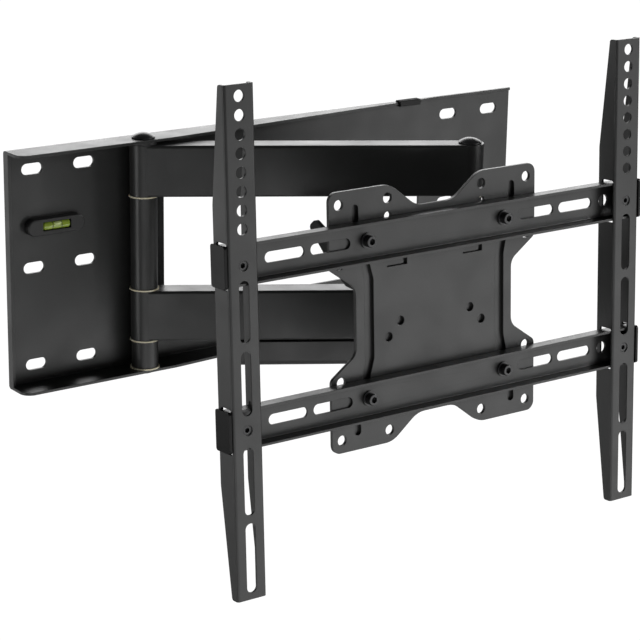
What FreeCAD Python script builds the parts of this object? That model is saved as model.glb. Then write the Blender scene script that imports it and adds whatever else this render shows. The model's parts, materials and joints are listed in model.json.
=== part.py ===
import FreeCAD, Part
import math
import os

V = FreeCAD.Vector

# Full motion wall mount for a flat television, all sizes in millimetres.
# Origin: middle of the wall plate's back face.  X runs to the right along the
# wall, Y points into the wall, Z is up, so the room is on the -Y side.

# ---- wall plate ---------------------------------------------------------
PLATE_HALF_W = 280.0
PLATE_HALF_H = 106.6
PLATE_T = 2.5
FLANGE_REACH = 30.0          # from the back face to the lip of the deep flange
FLANGE_LOW = 5.5             # reach of the shallow right-hand part
FLANGE_DEEP_END = -125.0     # X where the deep flange starts to taper
FLANGE_TAPER_END = 185.0     # X where the taper ends
FLANGE_CORNER = 10.0
SIDE_REACH = 8.0             # short return along the left edge
BEND_OUTER = 3.0
BEND_INNER = 1.0
WINDOW_LEFT = -121.5
WINDOW_RIGHT = 169.6
WINDOW_HALF_H = 61.0
WINDOW_CORNER = 6.0
STUD_X = (203.2, 254.0)      # half of 16 inch and 20 inch stud spacings
STUD_Z = (-88.0, 0.0, 88.0)
STUD_SLOT_L = 20.5
STUD_SLOT_W = 10.0

# ---- bubble level -------------------------------------------------------
LEVEL_X = -235.0
LEVEL_Z = 37.0
LEVEL_L = 56.0
LEVEL_H = 15.0
LEVEL_DEPTH = 8.5
VIAL_R = 3.7
VIAL_L = 27.0
VIAL_Z = 37.4
VIAL_SINK = 3.0              # vial axis below the front of the housing
VIAL_GAP = 0.3
SADDLE_X = 10.5              # saddles that carry the vial, either side of its middle

# ---- hinge hardware shared by the wall hinge and the elbow ---------------
PIN_R = 6.0
RUN_GAP = 0.05               # radial play of every turning bore
FREE_GAP = 0.3               # radial play where nothing turns
BARREL_R = 12.5
SPACER_R = 12.1
WASHER_R = 13.3
WASHER_T = 1.2
CAP_R = 10.4
CAP_RIM = 1.2
CAP_H = 5.0
RIVET_R = 9.0
RIVET_H = 3.6

# ---- inner arm ----------------------------------------------------------
HINGE_X = -152.0
HINGE_Y = -18.3
ARM_ANGLE = 31.14            # arm swung out from the wall at rest, degrees
ARM_L = 289.0
TUBE_HALF_W = 12.2
TUBE_WALL = 2.0
TUBE_ROUND = 2.5
UPPER_Z = (55.6, 101.8)
LOWER_Z = (-76.8, -30.6)
COVER_START = 72.0           # cable cover, measured along the arm
COVER_END = 216.0
COVER_HALF_W = 11.0
COVER_TOP = -78.6
COVER_H = 23.0
COVER_WALL = 1.8
COVER_ROUND = 6.0

# ---- outer arm and head -------------------------------------------------
HEAD_X = -3.1                # middle of the head, from the wall plate's middle
SWIVEL_Y = -180.9
OUTER_MID_Z = 8.5
OUTER_BARREL_H = 46.0
OUTER_TUBE_H = 40.0
LEG_T = 4.0
LEG_R = 15.0
WEB_BACK = 24.5              # from the swivel axis forward to the fork's web
FORK_T = 4.0
FORK_EAR_OUT = 44.0
EAR_R = 15.0
SWIVEL_HEAD_H = 4.5
SWIVEL_NUT_H = 6.0
SWIVEL_NUT_AF = 19.0

# ---- VESA plate frame ----------------------------------------------------
# x to the right, y into the wall, z up, zero at the middle of the plate's
# front face; the whole tilting head leans back by REST_TILT at rest.
REST_TILT = 3.3
VESA_Y = -248.6
VESA_Z = -13.6
VESA_T = 3.0
VESA_HALF = 100.0
VESA_HOLE_R = 4.5
TILT_Y = 32.0                # tilt axis in the plate frame
TILT_Z = 24.0
BRACKET_T = 3.0
BRACKET_Z = (-26.0, 60.0)
BRACKET_BASE = 58.0          # half width of the base plate behind the VESA plate
BRACKET_EAR_T = 4.0
BRACKET_EAR_IN = 45.2
TILT_BOLT_R = 5.0
LEVER_OUT = 55.0
LEVER_T = 4.0
LEVER_HUB_R = 10.5
# blade outline in the plate frame: y, z and corner radius, from the hub's top round the tip
LEVER_BLADE = ((31.0, 34.0, 0), (98.0, 67.0, 4.0), (107.0, 60.0, 3.5), (76.0, 30.5, 12.0),
               (54.0, 16.0, 9.0), (33.0, 13.8, 0))

STIFF_T = 3.0                # strips behind the VESA plate
STIFF_IN = 61.0
STIFF_WAIST = 82.0
STIFF_WIDE = 90.0
STIFF_HALF_H = 104.0
SLIT = ((65.4, -34.0, 10.0), (65.4, 34.0, 10.0), (70.5, 52.0, 0.8), (78.5, 52.0, 0.8),
        (75.0, 36.0, 12.0), (75.0, -36.0, 12.0), (78.5, -52.0, 0.8), (70.5, -52.0, 0.8))
LIP_Z = 41.4                 # lower edge of the L-shaped slits under the top rail
LIP_H = 1.4
LIP_LEG_W = 4.0
LIP_LEG_TOP = 52.0

RAIL_Z = 67.5
RAIL_HALF_H = 17.0
RAIL_HALF_L = 219.0
RAIL_DEPTH = 13.0
RAIL_T = 2.0
RAIL_SLOTS = ((90.0, 130.0), (136.0, 174.7))
RAIL_SLOT_H = 9.2
RAIL_HOLE_X = 188.6
RAIL_HOLE_R = 5.4
PLUG_T = 2.6
PLUG_LEN = 9.0
PLUG_FRONT = -15.2           # the outer lip is as deep as the upright beside it
PLUG_BACK = 4.8
BOLT_X = 73.1
BOLT_R = 3.0
BOLT_HEAD_R = 5.0
BOLT_HEAD_H = 6.0
BOLT_WASHER_R = 6.6
BOLT_WASHER_T = 1.6
NUT_AF = 10.0
NUT_H = 5.0

UPRIGHT_X = 204.0
UPRIGHT_HALF_W = 14.2
UPRIGHT_HALF_H = 211.0
UPRIGHT_FRONT = -15.5
UPRIGHT_T = 2.0
UPRIGHT_BACK = 5.0
UPRIGHT_BACK_END = -7.0      # back edge of the side flanges at the very ends
UPRIGHT_TAPER_Z = 115.0
UPRIGHT_HOLE_R = 4.8
UPRIGHT_HOLE_TOP = 201.8
UPRIGHT_HOLE_STEP = 15.0
UPRIGHT_HOLES = 8
UPRIGHT_SLOTS = ((4.4, 55.4), (-55.4, -2.1), (-139.0, -82.0), (-205.3, -145.9))
LOCK_R = 3.6
LOCK_LEN = 12.1
LOCK_SINK_R = 4.5            # recess around each lock screw
LOCK_SINK = 1.0
LOCK_TIP = -2.4              # tips stop just short of the rail webs


def box(x0, x1, y0, y1, z0, z1):
    return Part.makeBox(x1 - x0, y1 - y0, z1 - z0, V(x0, y0, z0))


def rod(r, start, end):
    """A plain cylinder between two points."""
    axis = end - start
    return Part.makeCylinder(r, axis.Length, start, axis)


def post(r, x, y, z0, z1):
    return rod(r, V(x, y, z0), V(x, y, z1))


def ring(r_out, r_in, x, y, z0, z1):
    return post(r_out, x, y, z0, z1).cut(post(r_in, x, y, z0 - 1, z1 + 1))


def rounded_wire(corners, place):
    """Closed outline through corners (u, v, radius), each one rounded."""
    edges = []
    ends = []
    count = len(corners)
    for i in range(count):
        before = V(corners[i - 1][0], corners[i - 1][1], 0)
        here = V(corners[i][0], corners[i][1], 0)
        after = V(corners[(i + 1) % count][0], corners[(i + 1) % count][1], 0)
        radius = corners[i][2]
        back = (before - here).normalize()
        ahead = (after - here).normalize()
        if radius <= 0:
            ends.append((here, here))
            continue
        half = back.getAngle(ahead) / 2.0
        step = radius / math.tan(half)
        start = here + back * step
        end = here + ahead * step
        middle = (back + ahead).normalize()
        top = here + middle * (radius / math.sin(half) - radius)
        ends.append((start, end))
        edges.append((i, Part.Arc(place(start), place(top), place(end)).toShape()))
    arcs = dict(edges)
    loop = []
    for i in range(count):
        if i in arcs:
            loop.append(arcs[i])
        here = ends[i][1]
        there = ends[(i + 1) % count][0]
        if (there - here).Length > 0.001:
            loop.append(Part.makeLine(place(here), place(there)))
    return Part.Wire(loop)


def slab_xz(corners, y0, y1):
    """Outline in X and Z, thick along Y."""
    wire = rounded_wire(corners, lambda p: V(p.x, y0, p.y))
    return Part.Face(wire).extrude(V(0, y1 - y0, 0))


def slab_xy(corners, z0, z1):
    """Outline in X and Y, thick along Z."""
    wire = rounded_wire(corners, lambda p: V(p.x, p.y, z0))
    return Part.Face(wire).extrude(V(0, 0, z1 - z0))


def slab_yz(corners, x0, x1):
    """Outline in Y and Z, thick along X."""
    wire = rounded_wire(corners, lambda p: V(x0, p.x, p.y))
    return Part.Face(wire).extrude(V(x1 - x0, 0, 0))


def rectangle(u0, u1, v0, v1, r):
    return ((u0, v0, r), (u1, v0, r), (u1, v1, r), (u0, v1, r))


def slot_across(x, z, length, width, y0, y1):
    """Round-ended slot running along X, cut along Y."""
    half = length / 2.0 - width / 2.0
    body = box(x - half, x + half, y0, y1, z - width / 2.0, z + width / 2.0)
    for side in (-half, half):
        body = body.fuse(rod(width / 2.0, V(x + side, y0, z), V(x + side, y1, z)))
    return body


def slot_upright(x, z0, z1, width, y0, y1):
    """Round-ended slot running along Z, cut along Y."""
    r = width / 2.0
    body = box(x - r, x + r, y0, y1, z0 + r, z1 - r)
    for z in (z0 + r, z1 - r):
        body = body.fuse(rod(r, V(x, y0, z), V(x, y1, z)))
    return body


def hexagon(across_flats, centre, direction, height):
    """Hexagonal prism standing on centre, pointing along direction."""
    points = []
    for i in range(7):
        a = math.radians(60 * i + 30)
        r = across_flats / 2.0 / math.cos(math.radians(30))
        points.append(V(r * math.cos(a), r * math.sin(a), 0))
    prism = Part.Face(Part.makePolygon(points)).extrude(V(0, 0, height))
    prism.Placement = FreeCAD.Placement(centre, FreeCAD.Rotation(V(0, 0, 1), direction))
    return prism


def fillet_where(shape, radius, test):
    """Round the straight edges whose middle point passes the test."""
    chosen = []
    for edge in shape.Edges:
        if not isinstance(edge.Curve, Part.Line):
            continue
        middle = edge.valueAt((edge.FirstParameter + edge.LastParameter) / 2.0)
        along = (edge.Vertexes[-1].Point - edge.Vertexes[0].Point).normalize()
        if test(middle, along):
            chosen.append(edge)
    return shape.makeFillet(radius, chosen)


def dome(x, y, z, r, rim, height):
    """Low button head: a short rim with a spherical top, standing on z."""
    rise = height - rim
    sphere_r = (r * r + rise * rise) / (2.0 * rise)
    mid_r = r / 2.0
    mid_z = rim + rise - sphere_r + math.sqrt(sphere_r ** 2 - mid_r ** 2)
    arc = Part.Arc(V(r, 0, rim), V(mid_r, 0, mid_z), V(0, 0, height)).toShape()
    sides = [Part.makeLine(V(0, 0, 0), V(r, 0, 0)), Part.makeLine(V(r, 0, 0), V(r, 0, rim))]
    close = Part.makeLine(V(0, 0, height), V(0, 0, 0))
    face = Part.Face(Part.Wire(sides + [arc, close]))
    head = face.revolve(V(0, 0, 0), V(0, 0, 1), 360)
    head.translate(V(x, y, z))
    return head


def upside_down(shape, z):
    return shape.mirror(V(0, 0, z), V(0, 0, 1))


def save(name, pieces):
    if not isinstance(pieces, (list, tuple)):
        pieces = [pieces]
    shape = pieces[0] if len(pieces) == 1 else Part.makeCompound(pieces)
    shape.exportStep("parts/" + name + ".step")


# ---- wall plate ----------------------------------------------------------

def wall_plate():
    w = PLATE_HALF_W
    h = PLATE_HALF_H
    plate = box(-w, w, -PLATE_T, 0, -h, h)
    lip = ((-w, 0, 0), (w, 0, 0), (w, -FLANGE_LOW, 2.0), (FLANGE_TAPER_END, -FLANGE_LOW, 30.0),
           (FLANGE_DEEP_END, -FLANGE_REACH, 60.0), (-w, -FLANGE_REACH, FLANGE_CORNER))
    for z0 in (-h, h - PLATE_T):
        plate = plate.fuse(slab_xy(lip, z0, z0 + PLATE_T))
    side_return = slab_yz(rectangle(-SIDE_REACH, 0, -h, h, 0), -w, -w + PLATE_T)
    plate = plate.fuse(side_return).removeSplitter()

    def outer_bend(p, along):
        return abs(along.x) > 0.99 and abs(p.y) < 0.01 and abs(abs(p.z) - h) < 0.01

    def inner_bend(p, along):
        level = abs(abs(p.z) - h + PLATE_T) < 0.01
        return abs(along.x) > 0.99 and abs(p.y + PLATE_T) < 0.01 and level

    plate = fillet_where(plate, BEND_OUTER, outer_bend)
    plate = fillet_where(plate, BEND_INNER, inner_bend)
    window = rectangle(WINDOW_LEFT, WINDOW_RIGHT, -WINDOW_HALF_H, WINDOW_HALF_H, WINDOW_CORNER)
    plate = plate.cut(slab_xz(window, -PLATE_T - 1, 1))
    for x in STUD_X:
        for side in (-x, x):
            for z in STUD_Z:
                plate = plate.cut(slot_across(side, z, STUD_SLOT_L, STUD_SLOT_W, -PLATE_T - 1, 1))
    return plate.cut(post(PIN_R + FREE_GAP, HINGE_X, HINGE_Y, -h - 1, h + 1))


def level_parts():
    front = -PLATE_T - LEVEL_DEPTH
    half = LEVEL_L / 2.0
    tall = LEVEL_H / 2.0
    outline = rectangle(LEVEL_X - half, LEVEL_X + half, LEVEL_Z - tall, LEVEL_Z + tall, tall - 0.4)
    housing = slab_xz(outline, front, -PLATE_T)
    rim = [e for e in housing.Edges if all(abs(v.Point.y - front) < 0.01 for v in e.Vertexes)]
    housing = housing.makeFillet(1.6, rim)
    vial_y = front + VIAL_SINK
    left = V(LEVEL_X - VIAL_L / 2.0, vial_y, VIAL_Z)
    right = V(LEVEL_X + VIAL_L / 2.0, vial_y, VIAL_Z)
    spare = V(VIAL_GAP, 0, 0)
    nest = rod(VIAL_R + VIAL_GAP, left - spare, right + spare)
    nest = nest.fuse(box(left.x - VIAL_GAP, right.x + VIAL_GAP, front - 1, vial_y,
                         VIAL_Z - VIAL_R - VIAL_GAP, VIAL_Z + VIAL_R + VIAL_GAP))
    for side in (-1, 1):
        # small saddles that carry the ends of the vial
        nest = nest.cut(box(LEVEL_X + side * SADDLE_X - 1.0, LEVEL_X + side * SADDLE_X + 1.0,
                            vial_y + VIAL_R - 0.8, -PLATE_T, VIAL_Z - 2, VIAL_Z + 2))
    vial = rod(VIAL_R, left, right)
    saddle_cut = []
    for side in (-1, 1):
        saddle_cut.append(box(LEVEL_X + side * SADDLE_X - 1.2, LEVEL_X + side * SADDLE_X + 1.2,
                              vial_y + VIAL_R - 0.8, -PLATE_T, VIAL_Z - 2.2, VIAL_Z + 2.2))
    for cut in saddle_cut:
        vial = vial.cut(cut)
    return housing.cut(nest), vial


def bumper():
    """Rubber clip pushed over the shallow part of the top flange."""
    x0 = 138.0
    x1 = 162.0
    front = -11.6
    top = PLATE_HALF_H
    bottom = PLATE_HALF_H - PLATE_T
    pad = slab_yz(rectangle(front, -3.4, bottom - 1.6, top + 1.6, 1.2), x0, x1)
    lip = ((x0 - 1, 0, 0), (x1 + 1, 0, 0), (x1 + 1, -flange_reach(x1 + 1), 0),
           (x0 - 1, -flange_reach(x0 - 1), 0))
    return pad.cut(slab_xy(lip, bottom, top))


def flange_reach(x):
    """Reach of the tapering flange at X."""
    part = (x - FLANGE_DEEP_END) / (FLANGE_TAPER_END - FLANGE_DEEP_END)
    part = min(max(part, 0.0), 1.0)
    return FLANGE_REACH + part * (FLANGE_LOW - FLANGE_REACH)


# ---- arms ----------------------------------------------------------------

def elbow_point():
    a = math.radians(ARM_ANGLE)
    return V(HINGE_X + ARM_L * math.cos(a), HINGE_Y - ARM_L * math.sin(a), 0)


def tube_between(start, end, z0, z1, half_w, barrel_z):
    """Box tube with a round barrel welded across each end."""
    run = end - start
    tube = box(0, run.Length, -half_w, half_w, z0, z1)
    tube = fillet_where(tube, TUBE_ROUND, lambda p, along: abs(along.x) > 0.99)
    hollow = box(-1, run.Length + 1, -half_w + TUBE_WALL, half_w - TUBE_WALL,
                 z0 + TUBE_WALL, z1 - TUBE_WALL)
    tube = tube.cut(hollow)
    angle = math.degrees(math.atan2(run.y, run.x))
    tube.Placement = FreeCAD.Placement(V(start.x, start.y, 0), FreeCAD.Rotation(V(0, 0, 1), angle))
    for p in (start, end):
        tube = tube.cut(post(BARREL_R - 1.0, p.x, p.y, z0 - 1, z1 + 1))
    arm = tube
    for p in (start, end):
        arm = arm.fuse(ring(BARREL_R, PIN_R + RUN_GAP, p.x, p.y, barrel_z[0], barrel_z[1]))
    return arm.removeSplitter()


def cable_cover():
    """Clip-on trough under the lower tube, open at the top and at both ends."""
    w = COVER_HALF_W
    bottom = COVER_TOP - COVER_H
    outside = ((-w, COVER_TOP, 0), (-w, bottom, COVER_ROUND), (w, bottom, COVER_ROUND),
               (w, COVER_TOP, 0))
    t = COVER_WALL
    inside = ((-w + t, COVER_TOP + 1, 0), (-w + t, bottom + t, COVER_ROUND - t),
              (w - t, bottom + t, COVER_ROUND - t), (w - t, COVER_TOP + 1, 0))
    cover = slab_yz(outside, COVER_START, COVER_END)
    cover = cover.cut(slab_yz(inside, COVER_START - 1, COVER_END + 1))
    for s in (COVER_START + 16, (COVER_START + COVER_END) / 2.0, COVER_END - 16):
        # bridge with a pad that meets the underside of the tube
        cover = cover.fuse(box(s - 6, s + 6, -w + 0.5, w - 0.5, COVER_TOP - 2.0, COVER_TOP))
        cover = cover.fuse(box(s - 4, s + 4, -6, 6, COVER_TOP - 1.0, LOWER_Z[0]))
    cover.Placement = FreeCAD.Placement(V(HINGE_X, HINGE_Y, 0),
                                        FreeCAD.Rotation(V(0, 0, 1), -ARM_ANGLE))
    return cover.removeSplitter()


def pin_with_head(p, z_low, z_high):
    return post(PIN_R, p.x, p.y, z_low, z_high).fuse(dome(p.x, p.y, z_high, CAP_R, CAP_RIM, CAP_H))


def end_rivet(p, z):
    """Peened collar on the lower end of a hinge pin."""
    collar = upside_down(dome(p.x, p.y, z, RIVET_R, 1.0, RIVET_H), z)
    return collar


def washers_at(p, levels):
    """Thin washers; each level is the height of the washer's lower face."""
    return [ring(WASHER_R, PIN_R + FREE_GAP, p.x, p.y, z, z + WASHER_T) for z in levels]


# ---- swivelling head -----------------------------------------------------

def outer_barrel_z():
    half = OUTER_BARREL_H / 2.0
    return OUTER_MID_Z - half, OUTER_MID_Z + half


def tilt_axis_row():
    """Tilt axis (Y, Z) in the shared frame."""
    a = math.radians(REST_TILT)
    y = VESA_Y + TILT_Y * math.cos(a) + TILT_Z * math.sin(a)
    z = VESA_Z - TILT_Y * math.sin(a) + TILT_Z * math.cos(a)
    return y, z


def swivel_fork():
    low, high = outer_barrel_z()
    axis_y, axis_z = tilt_axis_row()
    web_y1 = SWIVEL_Y - WEB_BACK
    web_y0 = web_y1 - FORK_T
    top = high + WASHER_T + LEG_T
    bottom = low - WASHER_T - LEG_T
    web = slab_xz(rectangle(HEAD_X - FORK_EAR_OUT, HEAD_X + FORK_EAR_OUT, bottom, top, 5.0),
                  web_y0, web_y1)
    fork = web
    for z0 in (bottom, top - LEG_T):
        leg = box(HEAD_X - LEG_R, HEAD_X + LEG_R, web_y0, SWIVEL_Y, z0, z0 + LEG_T)
        fork = fork.fuse(leg).fuse(post(LEG_R, HEAD_X, SWIVEL_Y, z0, z0 + LEG_T))
    for side in (-1, 1):
        x0 = HEAD_X + side * FORK_EAR_OUT
        x1 = x0 - side * FORK_T
        ear = box(min(x0, x1), max(x0, x1), axis_y, web_y1, axis_z - EAR_R, axis_z + EAR_R)
        ear = ear.fuse(rod(EAR_R, V(min(x0, x1), axis_y, axis_z), V(max(x0, x1), axis_y, axis_z)))
        fork = fork.fuse(ear)
    fork = fork.cut(post(PIN_R + FREE_GAP, HEAD_X, SWIVEL_Y, bottom - 1, top + 1))
    reach = FORK_EAR_OUT + 1
    bore = rod(TILT_BOLT_R + FREE_GAP, V(HEAD_X - reach, axis_y, axis_z),
               V(HEAD_X + reach, axis_y, axis_z))
    # round window in the web, for a cable
    window = rod(13.0, V(HEAD_X, web_y0 - 1, OUTER_MID_Z), V(HEAD_X, web_y1 + 1, OUTER_MID_Z))
    return fork.cut(bore).cut(window).removeSplitter()


def swivel_hardware():
    low, high = outer_barrel_z()
    top = high + WASHER_T + LEG_T
    bottom = low - WASHER_T - LEG_T
    pin = post(PIN_R, HEAD_X, SWIVEL_Y, bottom - SWIVEL_NUT_H - 1.5, top)
    pin = pin.fuse(dome(HEAD_X, SWIVEL_Y, top, CAP_R, CAP_RIM, SWIVEL_HEAD_H))
    nut = hexagon(SWIVEL_NUT_AF, V(HEAD_X, SWIVEL_Y, bottom - SWIVEL_NUT_H), V(0, 0, 1),
                  SWIVEL_NUT_H)
    nut = nut.cut(post(PIN_R + FREE_GAP, HEAD_X, SWIVEL_Y, bottom - 20, bottom + 1))
    centre = V(HEAD_X, SWIVEL_Y, 0)
    return pin, nut, washers_at(centre, (high, low - WASHER_T))


def tilt_hardware():
    """Bolt along X through fork, bracket and lever, with a nut on the right."""
    y, z = tilt_axis_row()
    out = BRACKET_EAR_IN + BRACKET_EAR_T
    left = HEAD_X - LEVER_OUT
    right = HEAD_X + out + WASHER_T
    bolt = rod(TILT_BOLT_R, V(left, y, z), V(right + 9.0, y, z))
    head = hexagon(15.0, V(left, y, z), V(-1, 0, 0), 5.0)
    nut = hexagon(15.0, V(right, y, z), V(1, 0, 0), 7.5)
    nut = nut.cut(rod(TILT_BOLT_R + FREE_GAP, V(right - 1, y, z), V(right + 12, y, z)))
    rings = []
    gap = BRACKET_EAR_IN - FORK_EAR_OUT
    for start in (HEAD_X - BRACKET_EAR_IN, HEAD_X + FORK_EAR_OUT, HEAD_X + out):
        thick = gap if start != HEAD_X + out else WASHER_T
        disc = rod(EAR_R - 2.0, V(start, y, z), V(start + thick, y, z))
        rings.append(disc.cut(rod(TILT_BOLT_R + FREE_GAP, V(start - 1, y, z), V(start + thick + 1, y, z))))
    return bolt.fuse(head), nut, rings


def tilt_lever():
    """Flat clamping lever with a hub, built in the plate frame around the tilt axis."""
    x0 = -LEVER_OUT
    hub_end = -BRACKET_EAR_IN - BRACKET_EAR_T
    axis = V(x0, TILT_Y, TILT_Z)
    blade = slab_yz(LEVER_BLADE, x0, x0 + LEVER_T)
    lever = blade.fuse(rod(LEVER_HUB_R, axis, V(hub_end, TILT_Y, TILT_Z)))
    bore = rod(TILT_BOLT_R + RUN_GAP, V(x0 - 1, TILT_Y, TILT_Z), V(hub_end + 1, TILT_Y, TILT_Z))
    return lever.cut(bore).removeSplitter()


# ---- tilting head, built in the plate frame ------------------------------

def four_ways(quarter):
    """Mirror a quarter outline, listed from the top middle to the right middle."""
    right = list(quarter) + [(u, -v, r) for u, v, r in reversed(quarter)]
    left = [(-u, v, r) for u, v, r in reversed(right)]
    return right + left


def vesa_plate():
    quarter = ((20.0, 90.0, 22.0), (47.0, 111.0, 22.0), (110.0, 111.0, 8.0), (110.0, 47.0, 6.0),
               (83.6, 28.5, 12.0))
    plate = slab_xz(four_ways(quarter), 0, VESA_T)
    holes = []
    for x in (-VESA_HALF, -50.0, 50.0, VESA_HALF):
        for z in (-VESA_HALF, VESA_HALF):
            holes.append((x, z, VESA_HOLE_R))
    for x in (-VESA_HALF, VESA_HALF):
        for z in (-50.0, 50.0):
            holes.append((x, z, VESA_HOLE_R))
    for side in (-1, 1):
        holes.append((side * 50.0, 85.0, 3.6))
        holes.append((side * 37.5, -6.3, 4.0))
        holes.append((side * 50.0, -18.6, 4.0))
        for z in (-RAIL_Z, RAIL_Z):
            holes.append((side * BOLT_X, z, BOLT_R + FREE_GAP))
    for x, z, r in holes:
        plate = plate.cut(rod(r, V(x, -1, z), V(x, VESA_T + 1, z)))
    for side in (-1, 1):
        plate = plate.cut(slot_upright(side * 83.5, 83.0, 98.5, 6.6, -1, VESA_T + 1))
        plate = plate.cut(slot_upright(side * 83.5, -98.5, -88.0, 6.6, -1, VESA_T + 1))
        # long relief slits between the rails, flaring out at both ends
        corners = [(side * u, v, r) for u, v, r in SLIT]
        plate = plate.cut(slab_xz(corners, -1, VESA_T + 1))
    for left, right in ((-51.0, -30.0), (30.0, 51.0)):
        leg = right - LIP_LEG_W
        lip = ((left, LIP_Z, 0), (right, LIP_Z, 0.6), (right, LIP_LEG_TOP, 0.6),
               (leg, LIP_LEG_TOP, 0.6), (leg, LIP_Z + LIP_H, 0.6), (left, LIP_Z + LIP_H, 0))
        plate = plate.cut(slab_xz(lip, -1, VESA_T + 1))
    return plate


def plate_stiffeners():
    """Strips behind the VESA plate, clamped by the rail bolts."""
    strips = []
    for side in (-1, 1):
        outer = ((STIFF_WIDE, STIFF_HALF_H, 3), (STIFF_WIDE, 47.0, 8), (STIFF_WAIST, 28.0, 8),
                 (STIFF_WAIST, -28.0, 8), (STIFF_WIDE, -47.0, 8), (STIFF_WIDE, -STIFF_HALF_H, 3))
        outline = list(outer) + [(STIFF_IN, -STIFF_HALF_H, 3), (STIFF_IN, STIFF_HALF_H, 3)]
        strip = slab_xz([(side * u, v, r) for u, v, r in outline], VESA_T, VESA_T + STIFF_T)
        for z in (-RAIL_Z, RAIL_Z):
            strip = strip.cut(rod(BOLT_R + FREE_GAP, V(side * BOLT_X, VESA_T - 1, z),
                                  V(side * BOLT_X, VESA_T + STIFF_T + 1, z)))
        strips.append(strip)
    return strips


def tilt_bracket():
    """Base plate behind the VESA plate with two welded ears that carry the tilt bolt."""
    out = BRACKET_EAR_IN + BRACKET_EAR_T
    y0 = VESA_T
    low, high = BRACKET_Z
    base = rectangle(-BRACKET_BASE, BRACKET_BASE, low, high, 5.0)
    bracket = slab_xz(base, y0, y0 + BRACKET_T)
    ear_low = 2.0
    ear = ((y0 + 0.5, ear_low, 0), (y0 + BRACKET_T + 4, ear_low, 8),
           (TILT_Y + EAR_R, TILT_Z - EAR_R, EAR_R - 0.5), (TILT_Y + EAR_R, TILT_Z + EAR_R, EAR_R - 0.5),
           (y0 + BRACKET_T + 4, high - 2, 10), (y0 + 0.5, high - 2, 0))
    for side in (-1, 1):
        x0 = min(side * BRACKET_EAR_IN, side * out)
        bracket = bracket.fuse(slab_yz(ear, x0, x0 + BRACKET_EAR_T))
    for side in (-1, 1):
        bracket = bracket.cut(rod(TILT_BOLT_R + RUN_GAP, V(side * (BRACKET_EAR_IN - 1), TILT_Y, TILT_Z),
                                  V(side * (out + 1), TILT_Y, TILT_Z)))
    return bracket.removeSplitter()


def rail(z):
    """Channel rail, open toward the room, lying on the front of the VESA plate."""
    h = RAIL_HALF_H
    t = RAIL_T
    profile = ((0, z - h, 2.2), (0, z + h, 2.2), (-RAIL_DEPTH, z + h, 0), (-RAIL_DEPTH, z + h - t, 0),
               (-t, z + h - t, 0.8), (-t, z - h + t, 0.8), (-RAIL_DEPTH, z - h + t, 0),
               (-RAIL_DEPTH, z - h, 0))
    body = slab_yz(profile, -RAIL_HALF_L, RAIL_HALF_L)
    for side in (-1, 1):
        for start, end in RAIL_SLOTS:
            middle = side * (start + end) / 2.0
            body = body.cut(slot_across(middle, z, end - start, RAIL_SLOT_H, -t - 1, 1))
        body = body.cut(rod(RAIL_HOLE_R, V(side * RAIL_HOLE_X, -t - 1, z), V(side * RAIL_HOLE_X, 1, z)))
        body = body.cut(rod(BOLT_R + FREE_GAP, V(side * BOLT_X, -t - 1, z), V(side * BOLT_X, 1, z)))
    return body


def rail_plugs():
    """Moulded end plugs: a tray inside the channel with an outer lip."""
    pieces = []
    h = RAIL_HALF_H
    gap = 0.2
    for side in (-1, 1):
        for z in (-RAIL_Z, RAIL_Z):
            x0 = side * RAIL_HALF_L
            x_out = x0 + side * PLUG_T
            x_in = x0 - side * PLUG_LEN
            lip = slab_yz(rectangle(PLUG_FRONT, PLUG_BACK, z - h - 0.4, z + h + 0.4, 2.5),
                          min(x0, x_out), max(x0, x_out))
            inner_h = h - RAIL_T - gap
            tray = box(min(x0, x_in), max(x0, x_in), -RAIL_DEPTH + 0.6, -RAIL_T - gap,
                       z - inner_h, z + inner_h)
            pocket = box(min(x_in, x0) - (1 if side > 0 else -1.6), max(x_in, x0) + (1 if side < 0 else -1.6),
                         -RAIL_DEPTH - 1, -RAIL_T - gap - 1.6, z - inner_h + 1.6, z + inner_h - 1.6)
            pieces.append(lip.fuse(tray.cut(pocket)).removeSplitter())
    return pieces


def rail_fasteners():
    bolts = []
    washers = []
    nuts = []
    back = VESA_T + STIFF_T
    for x in (-BOLT_X, BOLT_X):
        for z in (-RAIL_Z, RAIL_Z):
            seat = -RAIL_T - BOLT_WASHER_T
            washer = rod(BOLT_WASHER_R, V(x, seat, z), V(x, -RAIL_T, z))
            washers.append(washer.cut(rod(BOLT_R + FREE_GAP, V(x, seat - 1, z), V(x, 1, z))))
            head = rod(BOLT_HEAD_R, V(x, seat - BOLT_HEAD_H, z), V(x, seat, z))
            rim = [e for e in head.Edges if abs(e.BoundBox.YMax - seat + BOLT_HEAD_H) < 0.01]
            head = head.makeFillet(0.7, rim)
            socket = hexagon(5.0, V(x, seat - BOLT_HEAD_H - 0.1, z), V(0, 1, 0), 3.4)
            shank = rod(BOLT_R, V(x, seat, z), V(x, back + NUT_H + 1.5, z))
            bolts.append(head.fuse(shank).cut(socket))
            nut = hexagon(NUT_AF, V(x, back, z), V(0, 1, 0), NUT_H)
            nuts.append(nut.cut(rod(BOLT_R + FREE_GAP, V(x, 0, z), V(x, back + NUT_H + 1, z))))
    return bolts, washers, nuts


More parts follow.
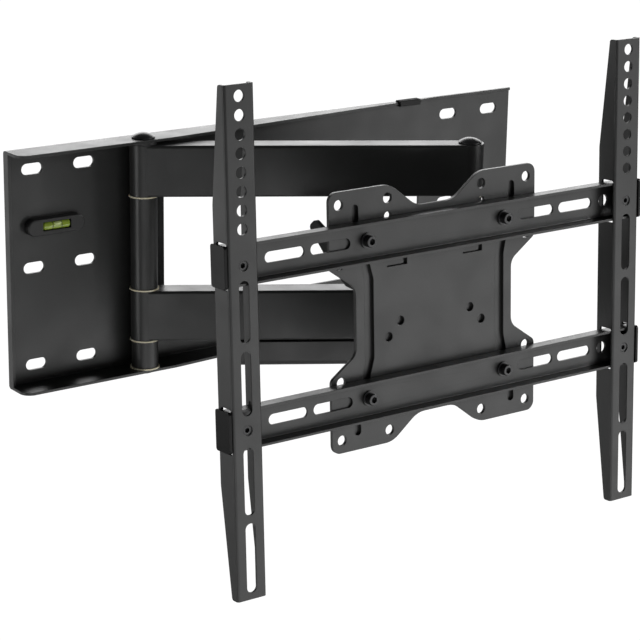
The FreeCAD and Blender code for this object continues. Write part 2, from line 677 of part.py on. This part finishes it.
def upright(side):
    """Folded channel that carries the television and slides on both rails."""
    xc = side * UPRIGHT_X
    w = UPRIGHT_HALF_W
    h = UPRIGHT_HALF_H
    t = UPRIGHT_T
    front = UPRIGHT_FRONT
    profile = ((front, -h, 0), (front, h, 0), (UPRIGHT_BACK_END, h, 2.5),
               (UPRIGHT_BACK, UPRIGHT_TAPER_Z, 20), (UPRIGHT_BACK, -UPRIGHT_TAPER_Z, 20),
               (UPRIGHT_BACK_END, -h, 2.5))
    solid = slab_yz(profile, xc - w, xc + w)
    solid = fillet_where(solid, 2.4, lambda p, along: abs(along.z) > 0.99 and abs(p.y - front) < 0.01)
    hollow = slab_xz(rectangle(xc - w + t, xc + w - t, -h - 5, h + 5, 0), front + t, UPRIGHT_BACK + 5)
    body = solid.cut(hollow)
    for sign in (-1, 1):
        low = min(sign * (RAIL_Z - 19.0), sign * (RAIL_Z + 19.0))
        gate = slab_yz(rectangle(-RAIL_DEPTH - 0.4, 0.8, low, low + 38.0, 1.5), xc - w - 1, xc + w + 1)
        body = body.cut(gate)
    front_cut = (front - 1, front + t + 0.2)
    for i in range(UPRIGHT_HOLES):
        z = UPRIGHT_HOLE_TOP - i * UPRIGHT_HOLE_STEP
        body = body.cut(rod(UPRIGHT_HOLE_R, V(xc, front_cut[0], z), V(xc, front_cut[1], z)))
    for z0, z1 in UPRIGHT_SLOTS:
        body = body.cut(slot_upright(xc, z0, z1, 2 * UPRIGHT_HOLE_R, front_cut[0], front_cut[1]))
    for z in (-RAIL_Z, RAIL_Z):
        body = body.cut(rod(LOCK_R + 0.1, V(xc, front_cut[0], z), V(xc, front_cut[1], z)))
        body = body.cut(rod(LOCK_SINK_R, V(xc, front_cut[0], z), V(xc, front + LOCK_SINK, z)))
    return body


def lock_screws(side):
    screws = []
    for z in (-RAIL_Z, RAIL_Z):
        start = V(side * UPRIGHT_X, LOCK_TIP - LOCK_LEN, z)
        screw = rod(LOCK_R, start, V(side * UPRIGHT_X, LOCK_TIP, z))
        socket = hexagon(4.0, start - V(0, 0.1, 0), V(0, 1, 0), 3.6)
        screws.append(screw.cut(socket))
    return screws


def tilted(shape):
    """Move a shape from the plate frame to the shared frame."""
    rotation = FreeCAD.Rotation(V(1, 0, 0), -REST_TILT)
    moved = shape.copy()
    moved.Placement = FreeCAD.Placement(V(HEAD_X, VESA_Y, VESA_Z), rotation).multiply(moved.Placement)
    return moved


def tilted_all(shapes):
    return [tilted(s) for s in shapes]


def main():
    os.makedirs("parts", exist_ok=True)
    hinge = V(HINGE_X, HINGE_Y, 0)
    elbow = elbow_point()
    swivel = V(HEAD_X, SWIVEL_Y, 0)
    low, high = outer_barrel_z()
    flange_low = -PLATE_HALF_H + PLATE_T
    flange_high = PLATE_HALF_H - PLATE_T
    bore = PIN_R + FREE_GAP

    # fixed to the wall
    save("wall_plate", wall_plate())
    housing, vial = level_parts()
    save("level_housing", housing)
    save("level_vial", vial)
    save("flange_bumper", bumper())
    save("wall_hinge_pin", pin_with_head(hinge, -PLATE_HALF_H, PLATE_HALF_H))
    save("wall_hinge_collar", end_rivet(hinge, -PLATE_HALF_H))
    save("wall_hinge_washers", washers_at(hinge, (UPPER_Z[0] - WASHER_T, LOWER_Z[1],
                                                  LOWER_Z[0] - WASHER_T, flange_low)))
    save("wall_spacer_middle", ring(SPACER_R, bore, hinge.x, hinge.y, LOWER_Z[1] + WASHER_T,
                                    UPPER_Z[0] - WASHER_T))
    save("wall_spacer_bottom", ring(SPACER_R, bore, hinge.x, hinge.y, flange_low + WASHER_T,
                                    LOWER_Z[0] - WASHER_T))
    save("wall_spacer_top", ring(SPACER_R, bore, hinge.x, hinge.y, UPPER_Z[1], flange_high))

    # inner arm
    save("inner_arm_upper", tube_between(hinge, elbow, UPPER_Z[0], UPPER_Z[1], TUBE_HALF_W, UPPER_Z))
    save("inner_arm_lower", tube_between(hinge, elbow, LOWER_Z[0], LOWER_Z[1], TUBE_HALF_W, LOWER_Z))
    save("cable_cover", cable_cover())
    save("elbow_pin", pin_with_head(elbow, LOWER_Z[0], UPPER_Z[1]))
    save("elbow_collar", end_rivet(elbow, LOWER_Z[0]))
    save("elbow_washers", washers_at(elbow, (UPPER_Z[0] - WASHER_T, high, low - WASHER_T, LOWER_Z[1])))
    save("elbow_spacers", [ring(SPACER_R, bore, elbow.x, elbow.y, high + WASHER_T, UPPER_Z[0] - WASHER_T),
                           ring(SPACER_R, bore, elbow.x, elbow.y, LOWER_Z[1] + WASHER_T, low - WASHER_T)])

    # outer arm
    half = OUTER_TUBE_H / 2.0
    save("outer_arm", tube_between(elbow, swivel, OUTER_MID_Z - half, OUTER_MID_Z + half, TUBE_HALF_W,
                                   (low, high)))

    # swivelling head
    save("swivel_fork", swivel_fork())
    pin, nut, rings = swivel_hardware()
    save("swivel_pin", pin)
    save("swivel_nut", nut)
    save("swivel_washers", rings)
    bolt, nut, rings = tilt_hardware()
    save("tilt_bolt", bolt)
    save("tilt_nut", nut)
    save("tilt_washers", rings)
    save("tilt_lever", tilted(tilt_lever()))

    # tilting head
    save("vesa_plate", tilted(vesa_plate()))
    save("plate_stiffeners", tilted_all(plate_stiffeners()))
    save("tilt_bracket", tilted(tilt_bracket()))
    save("rail_top", tilted(rail(RAIL_Z)))
    save("rail_bottom", tilted(rail(-RAIL_Z)))
    bolts, washers, nuts = rail_fasteners()
    save("rail_bolts", tilted_all(bolts))
    save("rail_washers", tilted_all(washers))
    save("rail_nuts", tilted_all(nuts))
    save("rail_end_plugs", tilted_all(rail_plugs()))

    # sliding uprights
    for name, side in (("left", -1), ("right", 1)):
        save("upright_" + name, tilted(upright(side)))
        save("lock_screws_" + name, tilted_all(lock_screws(side)))


main()
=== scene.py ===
import json
import math

import bmesh
import bpy
from mathutils import Matrix, Vector


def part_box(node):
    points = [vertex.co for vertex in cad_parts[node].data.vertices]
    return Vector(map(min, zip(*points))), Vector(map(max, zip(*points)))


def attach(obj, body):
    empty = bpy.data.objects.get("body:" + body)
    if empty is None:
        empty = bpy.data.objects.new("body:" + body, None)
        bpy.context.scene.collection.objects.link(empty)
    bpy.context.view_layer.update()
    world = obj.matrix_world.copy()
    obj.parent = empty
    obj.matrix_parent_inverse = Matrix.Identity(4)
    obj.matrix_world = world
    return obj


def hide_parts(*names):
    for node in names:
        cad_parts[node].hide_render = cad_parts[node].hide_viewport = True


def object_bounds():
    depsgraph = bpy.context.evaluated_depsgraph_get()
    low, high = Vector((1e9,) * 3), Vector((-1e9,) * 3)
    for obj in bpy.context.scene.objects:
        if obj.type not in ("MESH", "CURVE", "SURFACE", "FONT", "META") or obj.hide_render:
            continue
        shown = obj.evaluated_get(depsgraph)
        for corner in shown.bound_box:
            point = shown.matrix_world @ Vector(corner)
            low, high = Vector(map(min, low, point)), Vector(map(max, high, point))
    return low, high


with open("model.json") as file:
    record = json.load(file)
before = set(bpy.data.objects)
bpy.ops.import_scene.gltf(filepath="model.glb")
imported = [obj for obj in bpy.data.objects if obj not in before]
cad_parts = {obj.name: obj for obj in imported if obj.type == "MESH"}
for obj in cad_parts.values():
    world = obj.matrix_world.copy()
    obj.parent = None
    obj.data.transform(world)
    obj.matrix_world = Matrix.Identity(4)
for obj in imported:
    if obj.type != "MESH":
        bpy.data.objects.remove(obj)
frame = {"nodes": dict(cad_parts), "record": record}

CAD_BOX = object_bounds()
MM = 0.001

# ---- camera ---------------------------------------------------------------

CAMERA_PLACE = Vector((-1.1357, -1.6510, 0.5173))
CAMERA_AZIMUTH = -35.81
CAMERA_ELEVATION = 16.84
CAMERA_ROLL = 0.93
CAMERA_LENS = 124.28
SENSOR = 36.0


def make_camera():
    a = math.radians(CAMERA_AZIMUTH)
    e = math.radians(CAMERA_ELEVATION)
    r = math.radians(CAMERA_ROLL)
    back = Vector((math.sin(a) * math.cos(e), -math.cos(a) * math.cos(e), math.sin(e)))
    level = Vector((math.cos(a), math.sin(a), 0))
    upright = back.cross(level)
    right = level * math.cos(r) + upright * math.sin(r)
    up = upright * math.cos(r) - level * math.sin(r)
    data = bpy.data.cameras.new("camera")
    data.lens = CAMERA_LENS
    data.sensor_width = SENSOR
    data.clip_end = 60
    camera = bpy.data.objects.new("camera", data)
    bpy.context.collection.objects.link(camera)
    turn = Matrix((right, up, back)).transposed().to_4x4()
    camera.matrix_world = Matrix.Translation(CAMERA_PLACE) @ turn
    bpy.context.scene.camera = camera


# ---- material helpers -------------------------------------------------------

def new_material(name):
    material = bpy.data.materials.new(name)
    material.use_nodes = True
    tree = material.node_tree
    tree.nodes.clear()
    out = tree.nodes.new("ShaderNodeOutputMaterial")
    shader = tree.nodes.new("ShaderNodeBsdfPrincipled")
    tree.links.new(shader.outputs["BSDF"], out.inputs["Surface"])
    return material, tree, shader


def noise(tree, scale, detail=2.0, rough=0.5):
    coords = tree.nodes.new("ShaderNodeTexCoord")
    node = tree.nodes.new("ShaderNodeTexNoise")
    node.inputs["Scale"].default_value = scale
    node.inputs["Detail"].default_value = detail
    node.inputs["Roughness"].default_value = rough
    tree.links.new(coords.outputs["Object"], node.inputs["Vector"])
    return node.outputs["Fac"]


def spread(tree, value, low, high, from_low=0.3, from_high=0.7):
    """Stretch a 0 to 1 value to the range low to high."""
    node = tree.nodes.new("ShaderNodeMapRange")
    node.inputs["From Min"].default_value = from_low
    node.inputs["From Max"].default_value = from_high
    node.inputs["To Min"].default_value = low
    node.inputs["To Max"].default_value = high
    tree.links.new(value, node.inputs["Value"])
    return node.outputs["Result"]


def blend_colours(tree, factor, first, second):
    node = tree.nodes.new("ShaderNodeMix")
    node.data_type = "RGBA"
    for name, value in (("A", first), ("B", second)):
        socket = [s for s in node.inputs if s.name == name and s.type == "RGBA"][0]
        if isinstance(value, tuple):
            socket.default_value = (*value, 1.0)
        else:
            tree.links.new(value, socket)
    tree.links.new(factor, node.inputs["Factor"])
    return [s for s in node.outputs if s.type == "RGBA"][0]


def bump(tree, height, depth, strength=1.0, under=None):
    node = tree.nodes.new("ShaderNodeBump")
    node.inputs["Distance"].default_value = depth
    node.inputs["Strength"].default_value = strength
    tree.links.new(height, node.inputs["Height"])
    if under is not None:
        tree.links.new(under, node.inputs["Normal"])
    return node.outputs["Normal"]


def soft_edge(tree, radius):
    """Rounded-edge normal and a mask that is 1 along sharp edges."""
    bevel = tree.nodes.new("ShaderNodeBevel")
    bevel.samples = 6
    bevel.inputs["Radius"].default_value = radius
    surface = tree.nodes.new("ShaderNodeNewGeometry")
    dot = tree.nodes.new("ShaderNodeVectorMath")
    dot.operation = "DOT_PRODUCT"
    tree.links.new(bevel.outputs["Normal"], dot.inputs[0])
    tree.links.new(surface.outputs["Normal"], dot.inputs[1])
    mask = spread(tree, dot.outputs["Value"], 1.0, 0.0, 0.75, 0.995)
    return bevel.outputs["Normal"], mask


def coated(name, colour, fleck_wear_highlight_colour, roughness, grain, grain_depth, edge_radius=0.7 * MM, coat=0.0,
           gloss=0.5):
    """Painted or moulded surface: mottled colour, fine grain, and rounded edges lightened partly as
    wear and partly as a painted highlight.
    """
    material, tree, shader = new_material(name)
    normal, edge = soft_edge(tree, edge_radius)
    cloud = noise(tree, 9.0, 3.0)
    speck = noise(tree, grain * 1.7, 2.0)
    dark = tuple(c * 0.86 for c in colour)
    light = tuple(c * 1.16 for c in colour)
    mottled = blend_colours(tree, spread(tree, cloud, 0.0, 1.0), dark, light)
    flecked = blend_colours(tree, spread(tree, speck, 0.0, 0.35, 0.55, 0.8), mottled, fleck_wear_highlight_colour)
    # Sharp edges take the lighter colour: partly wear, partly a painted highlight standing in for the
    # bright lines that light draws along edges.
    edge_wear_and_highlight = blend_colours(tree, edge, flecked, fleck_wear_highlight_colour)
    tree.links.new(edge_wear_and_highlight, shader.inputs["Base Color"])
    uneven = spread(tree, noise(tree, 31.0, 4.0), roughness - 0.05, roughness + 0.06)
    tree.links.new(uneven, shader.inputs["Roughness"])
    shader.inputs["Coat Weight"].default_value = coat
    shader.inputs["Specular IOR Level"].default_value = gloss
    shader.inputs["Coat Roughness"].default_value = 0.2
    grained = bump(tree, noise(tree, grain, 2.0, 0.6), grain_depth, 0.8, normal)
    tree.links.new(grained, shader.inputs["Normal"])
    return material


def nylon():
    """Off-white plastic washers that let a little light in."""
    material, tree, shader = new_material("natural_nylon")
    tone = blend_colours(tree, spread(tree, noise(tree, 160.0), 0.0, 1.0), (0.66, 0.60, 0.42),
                         (0.80, 0.75, 0.58))
    tree.links.new(tone, shader.inputs["Base Color"])
    tree.links.new(spread(tree, noise(tree, 400.0), 0.38, 0.52), shader.inputs["Roughness"])
    shader.inputs["Subsurface Weight"].default_value = 0.08
    shader.inputs["Subsurface Radius"].default_value = (0.002, 0.0015, 0.001)
    return material


def zinc():
    """Zinc-plated steel with faint turning marks."""
    material, tree, shader = new_material("zinc_plate")
    tone = blend_colours(tree, spread(tree, noise(tree, 90.0, 4.0), 0.0, 1.0), (0.42, 0.42, 0.41),
                         (0.60, 0.60, 0.57))
    tree.links.new(tone, shader.inputs["Base Color"])
    shader.inputs["Metallic"].default_value = 1.0
    tree.links.new(spread(tree, noise(tree, 700.0, 3.0), 0.26, 0.46), shader.inputs["Roughness"])
    tree.links.new(bump(tree, noise(tree, 1500.0), 0.02 * MM), shader.inputs["Normal"])
    return material


def vial_liquid():
    """Yellow-green level liquid behind a clear, glossy skin."""
    material, tree, shader = new_material("vial_liquid")
    tone = blend_colours(tree, spread(tree, noise(tree, 120.0), 0.0, 1.0), (0.18, 0.27, 0.02),
                         (0.30, 0.40, 0.04))
    tree.links.new(tone, shader.inputs["Base Color"])
    tree.links.new(spread(tree, noise(tree, 60.0), 0.04, 0.09), shader.inputs["Roughness"])
    shader.inputs["IOR"].default_value = 1.45
    shader.inputs["Coat Weight"].default_value = 1.0
    return material


def paint_node(node, material):
    for slot in frame["nodes"][node].material_slots:
        slot.material = material


# ---- modelled pieces ----------------------------------------------------------

def mesh_object(name, bm, material, body):
    mesh = bpy.data.meshes.new(name)
    bm.to_mesh(mesh)
    bm.free()
    for face in mesh.polygons:
        face.use_smooth = True
    mesh.materials.append(material)
    piece = bpy.data.objects.new(name, mesh)
    bpy.context.collection.objects.link(piece)
    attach(piece, body)
    return piece


def lathe_x(profile, centre, steps=40):
    """Surface of revolution about a line along X; profile is (x, radius) pairs."""
    bm = bmesh.new()
    rings = []
    for x, radius in profile:
        ring = []
        for i in range(steps):
            t = 2 * math.pi * i / steps
            ring.append(bm.verts.new((centre.x + x, centre.y + radius * math.cos(t),
                                      centre.z + radius * math.sin(t))))
        rings.append(ring)
    for first, second in zip(rings, rings[1:]):
        for i in range(steps):
            j = (i + 1) % steps
            bm.faces.new((first[i], first[j], second[j], second[i]))
    bm.faces.new(list(reversed(rings[0])))
    bm.faces.new(rings[-1])
    bmesh.ops.recalc_face_normals(bm, faces=bm.faces)
    return bm


DOME_SHARE = 0.55              # depth of each domed end, as a share of the tube's radius
DOME_TIP_R = 0.4 * MM
DOME_STEPS = 8
LINE_X = 4.4 * MM              # marker lines, either side of the tube's middle
LINE_HALF_W = 0.3 * MM
LINE_SINK = 0.3 * MM
LINE_PROUD = 0.10 * MM
BUBBLE_HALF_L = 4.2 * MM
BUBBLE_R = 1.9 * MM
BUBBLE_TIP_R = 0.05 * MM
BUBBLE_STEPS = 16
BUBBLE_RING = 24
BUBBLE_X = 0.6 * MM
BUBBLE_FRONT = 0.62            # bubble's middle, as shares of the tube's radius
BUBBLE_RISE = 0.42


def vial_pieces(liquid, line, air):
    """Liquid-filled tube with domed ends, two marker rings and the bubble."""
    low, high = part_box("level_vial")
    centre = (Vector(low) + Vector(high)) / 2
    half = (high[0] - low[0]) / 2
    radius = (high[2] - low[2]) / 2
    dome = radius * DOME_SHARE
    left = []
    for i in reversed(range(DOME_STEPS + 1)):
        t = math.pi / 2 * i / DOME_STEPS
        left.append((-half + dome * (1 - math.sin(t)), max(radius * math.cos(t), DOME_TIP_R)))
    right = [(-x, r) for x, r in reversed(left)]
    tube = mesh_object("vial_tube", lathe_x(left + right, centre), liquid, "wall")
    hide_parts("level_vial")
    inner = radius - LINE_SINK
    outer = radius + LINE_PROUD
    profile = [(-LINE_HALF_W, inner), (-LINE_HALF_W, outer), (LINE_HALF_W, outer), (LINE_HALF_W, inner)]
    for side, word in ((-1, "left"), (1, "right")):
        ring = lathe_x(profile, centre + Vector((side * LINE_X, 0, 0)))
        mesh_object("vial_line_" + word, ring, line, "wall")
    bubble = []
    for i in range(BUBBLE_STEPS + 1):
        t = math.pi * i / BUBBLE_STEPS
        bubble.append((-BUBBLE_HALF_L * math.cos(t), max(BUBBLE_R * math.sin(t), BUBBLE_TIP_R)))
    place = centre + Vector((BUBBLE_X, -radius * BUBBLE_FRONT, radius * BUBBLE_RISE))
    mesh_object("vial_bubble", lathe_x(bubble, place, BUBBLE_RING), air, "wall")


def bubble_air():
    """The bubble, a paler green than the liquid round it."""
    material, tree, shader = new_material("vial_air")
    tone = blend_colours(tree, spread(tree, noise(tree, 300.0), 0.0, 1.0), (0.40, 0.50, 0.16),
                         (0.52, 0.60, 0.26))
    tree.links.new(tone, shader.inputs["Base Color"])
    tree.links.new(spread(tree, noise(tree, 80.0), 0.05, 0.12), shader.inputs["Roughness"])
    return material


# ---- stage and light ------------------------------------------------------------

FLOOR_HALF = 14.0
FLOOR_DROP = 0.75
FLOOR_BOUNCE = (0.70, 0.70, 0.70)
WHITE_LEVEL = 1.05
ROOM_LEVEL = 0.09


def floor_material():
    """White sweep: seen directly it is plain white, on the object it bounces less light."""
    material, tree, shader = new_material("floor_pale")
    tone = blend_colours(tree, spread(tree, noise(tree, 3.0, 4.0), 0.0, 1.0), FLOOR_BOUNCE,
                         tuple(1.06 * c for c in FLOOR_BOUNCE))
    tree.links.new(tone, shader.inputs["Base Color"])
    shader.inputs["Roughness"].default_value = 0.9
    shader.inputs["Specular IOR Level"].default_value = 0.1
    out = [node for node in tree.nodes if node.bl_idname == "ShaderNodeOutputMaterial"][0]
    white = tree.nodes.new("ShaderNodeEmission")
    white.inputs["Color"].default_value = (1, 1, 1, 1)
    white.inputs["Strength"].default_value = WHITE_LEVEL
    path = tree.nodes.new("ShaderNodeLightPath")
    mix = tree.nodes.new("ShaderNodeMixShader")
    tree.links.new(path.outputs["Is Camera Ray"], mix.inputs[0])
    tree.links.new(shader.outputs["BSDF"], mix.inputs[1])
    tree.links.new(white.outputs[0], mix.inputs[2])
    tree.links.new(mix.outputs[0], out.inputs["Surface"])
    return material


def make_floor():
    bm = bmesh.new()
    half = FLOOR_HALF
    z = CAD_BOX[0][2] - FLOOR_DROP
    corners = [bm.verts.new((x * half, y * half, z)) for x, y in ((-1, -1), (1, -1), (1, 1), (-1, 1))]
    bm.faces.new(corners)
    mesh = bpy.data.meshes.new("floor")
    bm.to_mesh(mesh)
    bm.free()
    mesh.materials.append(floor_material())
    floor = bpy.data.objects.new("floor", mesh)
    bpy.context.collection.objects.link(floor)


def area_light(name, place, aim, size, watts, seen=True):
    """Soft rectangular lamp; seen=False hides the lamp itself from the camera."""
    data = bpy.data.lights.new(name, "AREA")
    data.shape = "RECTANGLE"
    data.size, data.size_y = size
    data.energy = watts
    lamp = bpy.data.objects.new(name, data)
    bpy.context.collection.objects.link(lamp)
    place = Vector(place)
    lamp.location = place
    lamp.rotation_mode = "QUATERNION"
    lamp.rotation_quaternion = (Vector(aim) - place).to_track_quat("-Z", "Y")
    lamp.visible_camera = seen


def make_world():
    world = bpy.data.worlds.new("studio")
    world.use_nodes = True
    tree = world.node_tree
    tree.nodes.clear()
    out = tree.nodes.new("ShaderNodeOutputWorld")
    seen = tree.nodes.new("ShaderNodeBackground")
    seen.inputs["Color"].default_value = (1, 1, 1, 1)
    seen.inputs["Strength"].default_value = WHITE_LEVEL
    light = tree.nodes.new("ShaderNodeBackground")
    light.inputs["Color"].default_value = (0.97, 0.98, 1.0, 1)
    light.inputs["Strength"].default_value = ROOM_LEVEL
    path = tree.nodes.new("ShaderNodeLightPath")
    mix = tree.nodes.new("ShaderNodeMixShader")
    tree.links.new(path.outputs["Is Camera Ray"], mix.inputs[0])
    tree.links.new(light.outputs[0], mix.inputs[1])
    tree.links.new(seen.outputs[0], mix.inputs[2])
    tree.links.new(mix.outputs[0], out.inputs["Surface"])
    bpy.context.scene.world = world
    bpy.context.scene.view_settings.view_transform = "Standard"
    bpy.context.scene.view_settings.look = "None"


make_camera()
make_world()
make_floor()
area_light("back_softbox", (1.5, 2.2, 1.1), (0, -0.1, 0), (3.2, 1.6), 50)
area_light("front_right_softbox", (1.9, -2.5, -0.45), (0, -0.2, 0), (2.2, 1.8), 16)
area_light("front_left_softbox", (-1.4, -2.0, -0.80), (-0.15, -0.1, 0), (1.8, 0.9), 8)
area_light("key", (2.0, -1.7, 0.9), (0, -0.2, 0), (0.35, 0.35), 22)
area_light("back_left_softbox", (-1.9, 2.2, -0.3), (0, -0.1, 0), (2.4, 1.6), 12)
area_light("left_softbox", (-2.5, 0.0, -0.5), (-0.1, -0.1, 0), (0.9, 1.6), 14)
area_light("table_glow", (0.2, -1.15, -0.62), (-0.1, -0.1, 0), (2.0, 1.1), 7, False)

# The second colour in each coated() call is used for flecks and for the lightened edges, which are
# partly wear and partly painted highlight.
powder = coated("powder_coat_black", (0.0165, 0.017, 0.0165), (0.075, 0.075, 0.075), 0.36, 1500.0,
                0.03 * MM)
hardware = coated("black_oxide", (0.012, 0.012, 0.013), (0.08, 0.08, 0.08), 0.28, 2600.0, 0.01 * MM,
                  0.4 * MM)
housing = coated("moulded_black", (0.014, 0.014, 0.014), (0.05, 0.05, 0.05), 0.46, 3200.0,
                 0.02 * MM, 0.6 * MM)
cover = coated("cover_plastic", (0.018, 0.018, 0.018), (0.08, 0.08, 0.08), 0.38, 2800.0, 0.015 * MM,
               0.8 * MM)
plugs = coated("plug_plastic", (0.003, 0.003, 0.003), (0.03, 0.03, 0.03), 0.2, 3600.0, 0.008 * MM,
               0.6 * MM, 0.0, 0.12)
rubber = coated("rubber_black", (0.018, 0.018, 0.018), (0.035, 0.035, 0.035), 0.78, 1900.0, 0.04 * MM,
                0.5 * MM)

BY_SLOT = {
    "black_powder_coat": powder,
    "black_hardware": hardware,
    "zinc_nuts": zinc(),
    "pale_washers": nylon(),
    "black_housing": housing,
    "vial_liquid": vial_liquid(),
    "black_rubber": rubber,
    "black_cover": cover,
    "black_plugs": plugs,
}
for part in frame["record"]["subparts"]:
    paint_node(part["node"], BY_SLOT[part["material_slot"]])

vial_pieces(BY_SLOT["vial_liquid"], housing, bubble_air())
